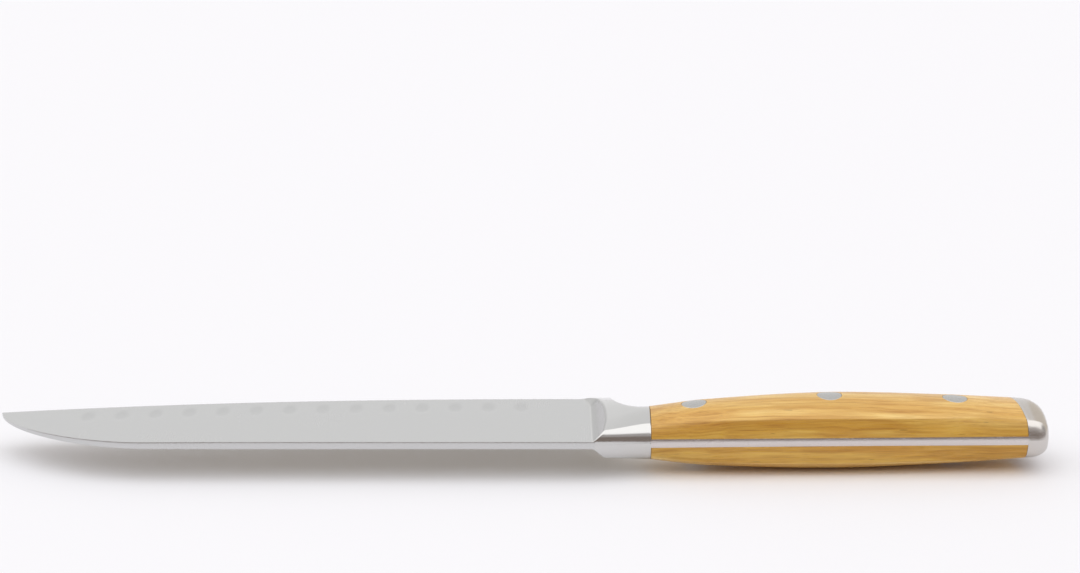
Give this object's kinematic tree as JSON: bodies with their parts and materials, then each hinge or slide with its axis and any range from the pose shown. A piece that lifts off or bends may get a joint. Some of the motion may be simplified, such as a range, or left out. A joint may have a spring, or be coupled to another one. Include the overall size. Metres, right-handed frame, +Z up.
{
  "type": "santoku knife",
  "caption": "Full-tang santoku kitchen knife with a hollow-ground sheep's-foot blade, steel bolster and end cap, and riveted bamboo handle scales.",
  "frame": {"origin": "bottom centre of the whole knife's box, on the table it lies on", "axes": "+X runs along the knife from the tip to the butt, +Y from the spine to the cutting edge, +Z up, square to the blade's middle plane"},
  "size_m": [0.315, 0.048, 0.0222],
  "materials": {
    "blade_steel": "satin, ground along the blade's depth",
    "bolster_steel": "polished stainless steel",
    "rivet_steel": "ground flush with the wood",
    "bamboo": "oiled, with fine long grain"
  },
  "bodies": {
    "root": {"blade": "blade_steel", "front_bolster_upper": "bolster_steel", "front_bolster_lower": "bolster_steel", "end_cap": "bolster_steel", "handle_scale_upper": "bamboo", "handle_scale_lower": "bamboo", "front_rivet_male": "rivet_steel", "front_rivet_female": "rivet_steel", "middle_rivet_male": "rivet_steel", "middle_rivet_female": "rivet_steel", "rear_rivet_male": "rivet_steel", "rear_rivet_female": "rivet_steel"}
  },
  "joints": []
}
